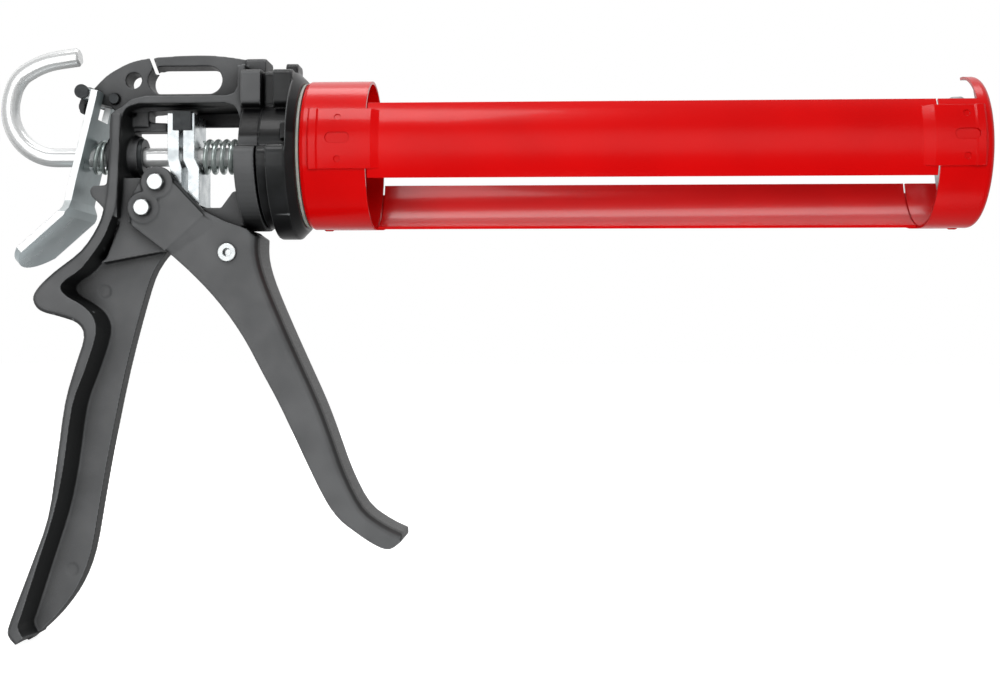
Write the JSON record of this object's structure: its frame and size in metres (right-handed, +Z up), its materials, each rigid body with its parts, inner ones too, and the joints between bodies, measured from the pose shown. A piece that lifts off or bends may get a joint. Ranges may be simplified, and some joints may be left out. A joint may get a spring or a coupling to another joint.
{
  "type": "caulking gun",
  "caption": "Cradle caulking gun with a cast handle, squeeze trigger, hexagonal push rod with a hook, and an open turning cradle.",
  "frame": {"origin": "centre of the nozzle slot in the front plate, on the push rod's axis", "axes": "+X along the push rod's axis towards the nozzle, +Z up away from the grip, +Y to the far side"},
  "size_m": [0.3501, 0.06, 0.2155],
  "materials": {
    "cast_handle": "satin black powder coat on die-cast aluminium",
    "swivel_black": "gloss black paint on die-cast metal",
    "cradle_red": "gloss red paint on sheet steel",
    "zinc_plate": "bright zinc plate on stamped steel",
    "rod_steel": "bright drawn and plated hexagonal steel",
    "spring_wire": "zinc plated spring wire",
    "fastener_zinc": "bright zinc plated fasteners",
    "plunger_steel": "zinc plated pressed steel",
    "washer_white": "pale nylon",
    "dark_steel": "blackened steel"
  },
  "bodies": {
    "handle": {"handle_casting": "cast_handle", "swivel_collar": "swivel_black", "swivel_washer": "washer_white", "cradle_nut": "fastener_zinc", "rear_guide_bush": "dark_steel", "frame_pin": "dark_steel", "lever_pin": "dark_steel", "trigger_pivot_bolt": "fastener_zinc", "trigger_pivot_nut": "fastener_zinc", "drive_spring": "spring_wire", "release_spring": "spring_wire"},
    "trigger": {"trigger_lever": "cast_handle", "push_bolt": "fastener_zinc", "push_nut": "fastener_zinc", "push_roller": "fastener_zinc", "trigger_rivet": "fastener_zinc"},
    "drive": {"drive_plate_rear": "zinc_plate", "drive_plate_front": "zinc_plate", "plate_block": "dark_steel"},
    "release": {"release_lever": "zinc_plate"},
    "rod": {"push_rod": "rod_steel", "plunger_disc": "plunger_steel", "plunger_cup": "plunger_steel", "rod_nut": "fastener_zinc"},
    "cradle": {"rear_ring": "cradle_red", "front_cap": "cradle_red", "near_rail": "cradle_red", "far_rail": "cradle_red"}
  },
  "joints": [
    {"name": "trigger_pull", "type": "hinge", "parent": "handle", "child": "trigger", "pos_m": [-0.2932, 0, -0.0196], "axis": [0, 1, 0], "range_deg": [0, 36], "stiffness_Nm_per_rad": 0.6, "springref_deg": -28.65},
    {"name": "drive_slide", "type": "slide", "parent": "handle", "child": "drive", "axis": [1, 0, 0], "range_m": [0, 0.006], "deforming": ["drive_spring"]},
    {"name": "release_press", "type": "hinge", "parent": "handle", "child": "release", "pos_m": [-0.3157, 0, 0.022], "axis": [0, -1, 0], "range_deg": [0, 5], "stiffness_Nm_per_rad": 0.4, "springref_deg": -28.65, "deforming": ["release_spring"]},
    {"name": "rod_slide", "type": "slide", "parent": "handle", "child": "rod", "axis": [1, 0, 0], "range_m": [-0.214, 0]},
    {"name": "cradle_turn", "type": "hinge", "parent": "handle", "child": "cradle", "pos_m": [-0.2355, 0, 0], "axis": [1, 0, 0], "continuous": true}
  ],
  "couplings": [
    {"joint": "drive_slide", "follows": "trigger_pull", "m_per_rad": 0.0092}
  ]
}
